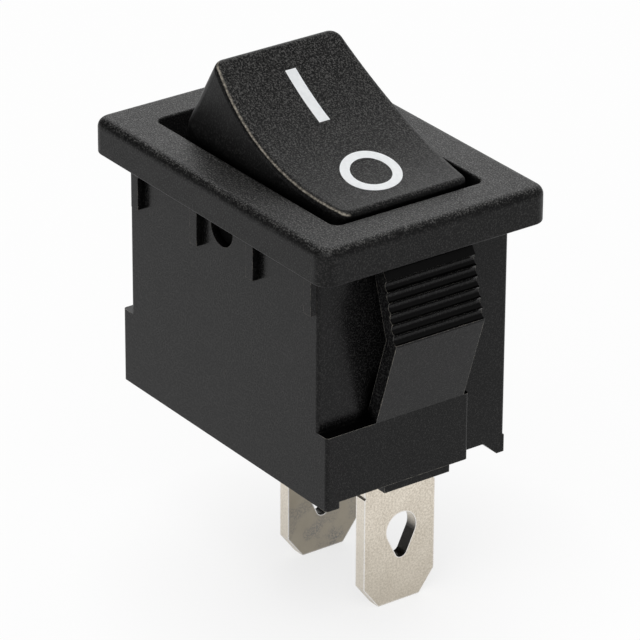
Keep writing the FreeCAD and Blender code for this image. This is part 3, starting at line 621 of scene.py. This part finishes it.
FINISHES = {
    "housing_plastic": housing_plastic(),
    "rocker_plastic": rocker_plastic(),
    "mark_white": mark_white(),
    "plunger_acetal": plunger_acetal(),
    "spring_steel": metal("spring_steel_look", STEEL_COLOURS, STEEL_ROUGHNESS),
    "lever_brass": metal("lever_brass_look", LEVER_COLOURS, LEVER_ROUGHNESS),
    "contact_silver": metal("contact_silver_look", SILVER_COLOURS, SILVER_ROUGHNESS),
    "plated_brass": blade_metal("plated_brass_look", LINE_FACE_SHADE, LINE_HOLE),
}
# The common blade, with painted shade on its broad face
COMMON_BLADE_SHADE_FINISH = blade_metal("common_blade_shade_look", COMMON_FACE_SHADE, COMMON_HOLE)


def dress_nodes():
    """Gives each solid its finish, by the material slot that it has in the record."""
    slots = {part["node"]: part["material_slot"] for part in frame["record"]["subparts"]}
    for name, node in NODES.items():
        for place in node.material_slots:
            place.material = FINISHES[slots[name]]
    # The common blade takes the finish with painted shade on its broad face
    for place in NODES["common_terminal"].material_slots:
        place.material = COMMON_BLADE_SHADE_FINISH


# Pieces made here

def add_piece(name, points, faces, material):
    mesh = bpy.data.meshes.new(name)
    mesh.from_pydata(points, [], faces)
    mesh.materials.append(material)
    piece = bpy.data.objects.new(name, mesh)
    bpy.context.scene.collection.objects.link(piece)
    return piece


def band_faces(loops, around, closed):
    """Faces between neighbouring loops of points, and from the last loop to the first when closed."""
    faces = []
    for loop in range(loops if closed else loops - 1):
        here, there = loop * around, (loop + 1) % loops * around
        for point in range(around):
            after = (point + 1) % around
            faces.append((here + point, there + point, there + after, here + after))
    return faces


def coil_path(steps_a_turn=24):
    """Points of the coil's middle line as angle and height: closed end turns and open ones between."""
    low, high = PLUNGER_TOP + WIRE_RADIUS, BORE_TOP - WIRE_RADIUS
    dead = 2 * WIRE_RADIUS * DEAD_TURNS
    path = []
    for step in range(COIL_TURNS * steps_a_turn + 1):
        turns = step / steps_a_turn
        if turns < DEAD_TURNS:
            rise = 2 * WIRE_RADIUS * turns
        elif turns > COIL_TURNS - DEAD_TURNS:
            rise = high - low - 2 * WIRE_RADIUS * (COIL_TURNS - turns)
        else:
            open_share = (turns - DEAD_TURNS) / (COIL_TURNS - 2 * DEAD_TURNS)
            rise = dead + (high - low - 2 * dead) * open_share
        path.append((2 * math.pi * turns, low + rise))
    return path


def in_rocker(along, across, up):
    """A point given from the pivot, in the rocker's directions at rest."""
    return PIVOT + ROCKER_ALONG * along + Vector((0, across, 0)) + ROCKER_UP * up


def add_spring(around=10):
    """The wound wire, standing on the plunger's shoulder in the rocker's bore."""
    path = coil_path()
    points = []
    for angle, height in path:
        for side in range(around):
            turn = 2 * math.pi * side / around
            radius = COIL_RADIUS + WIRE_RADIUS * math.cos(turn)
            points.append(in_rocker(radius * math.cos(angle), radius * math.sin(angle),
                                    height + WIRE_RADIUS * math.sin(turn)))
    caps = [tuple(range(around)), tuple(reversed(range(len(points) - around, len(points))))]
    faces = band_faces(len(path), around, closed=False) + caps
    spring = add_piece("wound_spring", points, faces, FINISHES["spring_steel"])
    spring.data.shade_smooth()
    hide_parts("plunger_spring")
    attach(spring, "rocker")
    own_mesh(spring)


def on_dish(outline, turn, rise):
    """A point of one of the ring's outlines, raised from the rocker's dished face."""
    half_length, half_width, slant = outline
    along = RING_MIDDLE[0] + half_length * math.cos(turn)
    across = RING_MIDDLE[1] + half_width * (slant * math.cos(turn)
                                            + math.sqrt(1 - slant * slant) * math.sin(turn))
    angle = math.asin(along / DISH_RADIUS)
    radius = DISH_RADIUS - rise
    return in_rocker(radius * math.sin(angle), across,
                     DISH_DEPTH + DISH_RADIUS - radius * math.cos(angle))


def add_ring(steps=120):
    """The white ring, rounder than its solid."""
    corners = ((RING_OUTER, RING_ROOT), (RING_OUTER, RING_RISE),
               (RING_INNER, RING_RISE), (RING_INNER, RING_ROOT))
    points = [on_dish(outline, 2 * math.pi * step / steps, rise)
              for step in range(steps) for outline, rise in corners]
    faces = band_faces(steps, len(corners), closed=True)
    ring = add_piece("white_ring", points, faces, FINISHES["mark_white"])
    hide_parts("off_mark")
    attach(ring, "rocker")


def fill_groove():
    """Closes the groove that the ring's own solid sat in with the rocker's plastic."""
    solid = NODES["off_mark"]
    filling = bpy.data.objects.new("groove_filling", solid.data.copy())
    filling.matrix_world = solid.matrix_world
    filling.data.materials.clear()
    filling.data.materials.append(FINISHES["rocker_plastic"])
    bpy.context.scene.collection.objects.link(filling)
    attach(filling, "rocker")


# Studio

def floor_material():
    """Pale floor: partly an even glow, so that it comes out nearly white, and partly shadowed."""
    look = Shading("floor_look")
    look.set(look.shader, Base_Color=FLOOR_COLOUR, Roughness=FLOOR_ROUGHNESS, Specular_IOR_Level=0.0)
    light = look.nodes.new("ShaderNodeEmission")
    look.set(light, Color=WHITE, Strength=FLOOR_GLOW)
    path = look.nodes.new("ShaderNodeLightPath")
    seen = look.spread(look.vectors("DISTANCE", look.place, SHADOW_MIDDLE), *SHADOW_REACH, *GLOW_SEEN)
    glow_share = look.plus(look.times(path.outputs["Is Camera Ray"], seen),
                           look.times(path.outputs["Is Glossy Ray"], GLOW_REFLECTED))
    mix = look.nodes.new("ShaderNodeMixShader")
    look.feed(mix.inputs["Fac"], glow_share)
    look.feed(mix.inputs[1], look.shader.outputs["BSDF"])
    look.feed(mix.inputs[2], light.outputs["Emission"])
    look.feed(look.nodes["Material Output"].inputs["Surface"], mix.outputs["Shader"])
    return look.material


def add_floor():
    half = FLOOR_SIZE / 2
    corners = [(x, y, FLOOR_LEVEL) for x, y in ((-half, -half), (half, -half), (half, half), (-half, half))]
    floor = add_piece("floor", corners, [(0, 1, 2, 3)], floor_material())


def add_world():
    """Even surround, with a dark card on the left that the moulding's rounded edges pick up."""
    world = bpy.data.worlds.new("studio")
    world.use_nodes = True
    bpy.context.scene.world = world
    nodes, links = world.node_tree.nodes, world.node_tree.links
    dot = nodes.new("ShaderNodeVectorMath")
    dot.operation = "DOT_PRODUCT"
    links.new(nodes.new("ShaderNodeTexCoord").outputs["Generated"], dot.inputs[0])
    dot.inputs[1].default_value = CARD_DIRECTION
    card = nodes.new("ShaderNodeMapRange")
    links.new(dot.outputs["Value"], card.inputs["Value"])
    for name, value in zip(("From Min", "From Max", "To Min", "To Max"),
                           (*CARD_SPAN, SURROUND, CARD_LEVEL)):
        card.inputs[name].default_value = value
    path = nodes.new("ShaderNodeLightPath")
    level = nodes.new("ShaderNodeMix")
    links.new(path.outputs["Is Camera Ray"], level.inputs[0])
    links.new(card.outputs["Result"], level.inputs[2])
    level.inputs[3].default_value = BACKDROP
    links.new(level.outputs[0], nodes["Background"].inputs["Strength"])
    nodes["Background"].inputs["Color"].default_value = WHITE


def add_softbox(name, direction, radiance):
    """A square area light that faces the switch."""
    back = Vector(direction).normalized()
    data = bpy.data.lights.new(name, "AREA")
    data.size = SOFTBOX_SIZE
    data.energy = radiance * math.pi * SOFTBOX_SIZE ** 2
    light = bpy.data.objects.new(name, data)
    light.location = back * SOFTBOX_DISTANCE
    light.rotation_mode = "QUATERNION"
    light.rotation_quaternion = back.to_track_quat("Z", "Y")
    bpy.context.scene.collection.objects.link(light)


def camera_axes():
    """The camera's right, up and back directions."""
    back = Vector((math.sin(CAMERA_AZIMUTH) * math.cos(CAMERA_ELEVATION),
                   -math.cos(CAMERA_AZIMUTH) * math.cos(CAMERA_ELEVATION),
                   math.sin(CAMERA_ELEVATION)))
    level = Vector((math.cos(CAMERA_AZIMUTH), math.sin(CAMERA_AZIMUTH), 0))
    upright = back.cross(level)
    right = math.cos(CAMERA_ROLL) * level + math.sin(CAMERA_ROLL) * upright
    up = math.cos(CAMERA_ROLL) * upright - math.sin(CAMERA_ROLL) * level
    return right, up, back


def add_camera():
    right, up, back = camera_axes()
    data = bpy.data.cameras.new("camera")
    data.lens = LENS
    data.sensor_width = SENSOR_WIDTH
    data.clip_start = NEAR_CLIP
    data.clip_end = FAR_CLIP
    camera = bpy.data.objects.new("camera", data)
    bpy.context.scene.collection.objects.link(camera)
    aim = right * CAMERA_AIM_RIGHT + up * CAMERA_AIM_UP
    turn = Matrix((right, up, back)).transposed().to_4x4()
    camera.matrix_world = Matrix.Translation(aim + back * CAMERA_DISTANCE) @ turn
    bpy.context.scene.camera = camera


add_camera()
add_floor()
add_world()
for name, (direction, radiance) in SOFTBOXES.items():
    add_softbox(name, direction, radiance)
dress_nodes()
add_spring()
add_ring()
fill_groove()

bpy.context.scene.view_settings.view_transform = "Standard"
